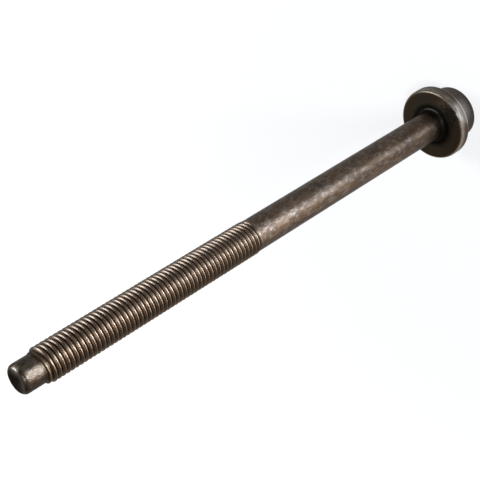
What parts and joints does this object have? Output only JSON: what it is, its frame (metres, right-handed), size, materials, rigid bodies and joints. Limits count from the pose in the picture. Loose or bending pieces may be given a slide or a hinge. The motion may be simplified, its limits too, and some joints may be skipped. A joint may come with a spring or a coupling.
{
  "type": "flanged head bolt",
  "caption": "Long dark steel head bolt with a round flanged head, internal twelve-point drive, plain shank, fine-pitch thread and dog point.",
  "frame": {"origin": "centre of the head's flat end, on the surface that the bolt stands on", "axes": "+Z along the bolt's axis, from the head up to the tip; +X through a hollow between two points of the drive socket's star"},
  "size_m": [0.0256, 0.0256, 0.1909],
  "materials": {
    "dark_steel": "dark phosphated and oiled steel, mottled brown and grey, worn bright on the highlights"
  },
  "bodies": {
    "root": {"bolt": "dark_steel"}
  },
  "joints": []
}
